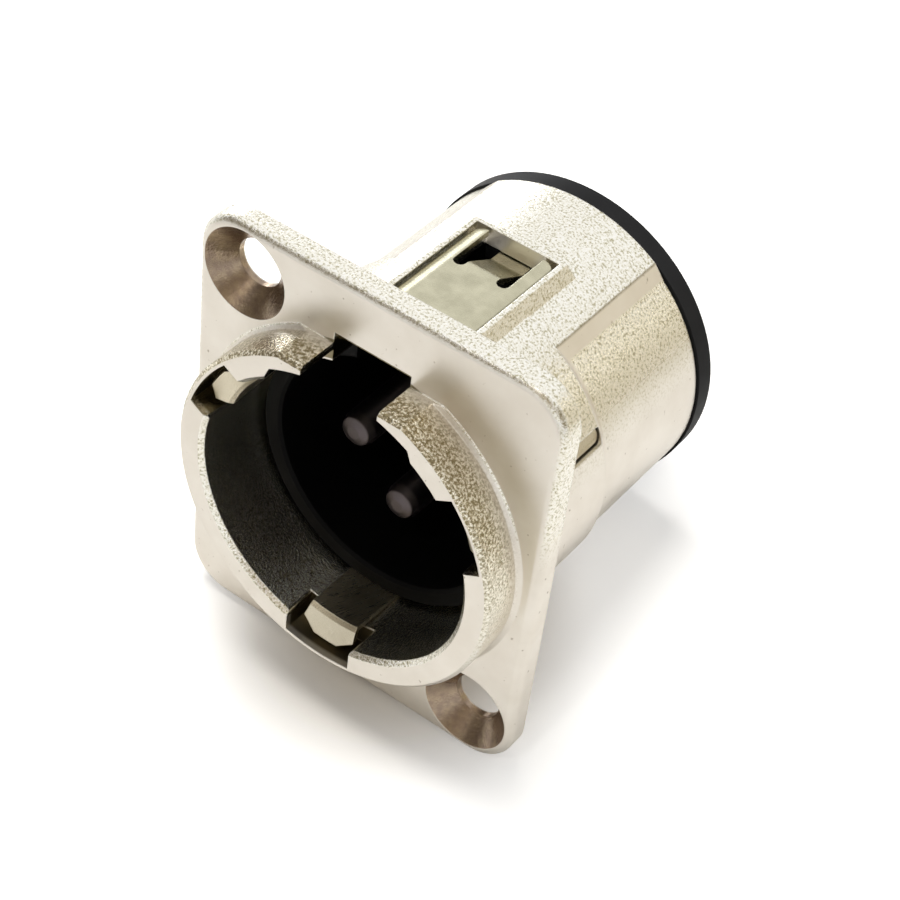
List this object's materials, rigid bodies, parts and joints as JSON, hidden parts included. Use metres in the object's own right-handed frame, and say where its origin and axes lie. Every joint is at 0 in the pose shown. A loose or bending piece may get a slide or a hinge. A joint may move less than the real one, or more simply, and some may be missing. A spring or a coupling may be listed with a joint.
{
  "type": "panel mount xlr connector",
  "caption": "Panel-mounting male audio connector: cast flange with a socket collar, black insert with contact pins, earth spring and latch plate.",
  "frame": {"origin": "on the socket's axis, in the plane of the flange's rear face, which is the panel's front", "axes": "+Z along the flange's long side towards the latch slot, -Y out of the panel towards the mating plug, +X to the right seen from the front"},
  "size_m": [0.026, 0.0297, 0.031],
  "materials": {
    "cast_nickel": "satin nickel plate on a zinc casting",
    "black_plastic": "moulded, satin",
    "pin_silver": "silver plate on brass",
    "spring_tin": "plated spring bronze",
    "plate_steel": "rolled, fine scratches"
  },
  "bodies": {
    "root": {"shell": "cast_nickel", "contact_insert": "black_plastic", "contact_1": "pin_silver", "contact_2": "pin_silver", "contact_3": "pin_silver", "earth_spring": "spring_tin", "latch_plate": "plate_steel"}
  },
  "joints": []
}
